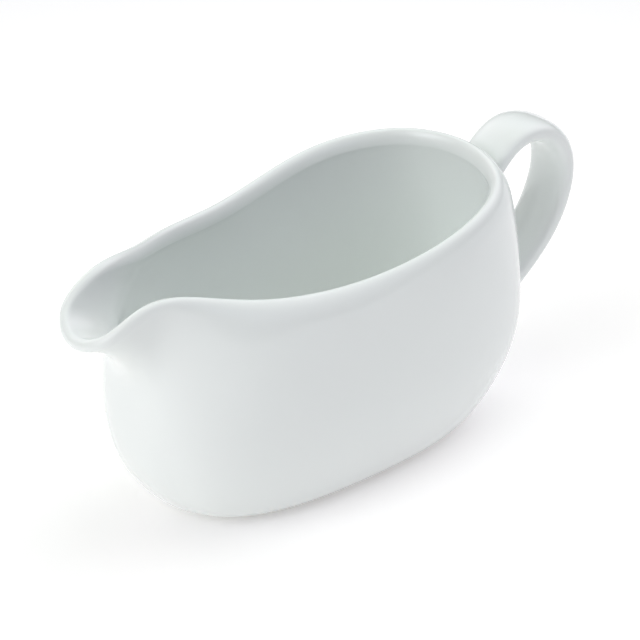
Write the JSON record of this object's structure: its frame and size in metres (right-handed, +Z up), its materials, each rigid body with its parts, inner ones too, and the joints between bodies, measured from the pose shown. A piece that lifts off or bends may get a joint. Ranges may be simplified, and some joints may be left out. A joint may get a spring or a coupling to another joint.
{
  "type": "gravy boat",
  "caption": "Oval white porcelain gravy boat with a rolled rim, a broad flared pouring lip and a strap handle opposite it, on a low recessed foot.",
  "frame": {"origin": "on the table, at the middle of the overall length and of the width", "axes": "+X from the pouring lip to the handle, +Y across the boat, +Z up"},
  "size_m": [0.2017, 0.0826, 0.0946],
  "materials": {
    "body_glaze": "glossy white glaze over porcelain, with a bare fired foot ring",
    "handle_glaze": "glossy white glaze over porcelain",
    "joint_glaze": "glossy white glaze over fired slip"
  },
  "bodies": {
    "root": {"vessel": "body_glaze", "handle": "handle_glaze", "upper_handle_joint": "joint_glaze", "lower_handle_joint": "joint_glaze"}
  },
  "joints": []
}
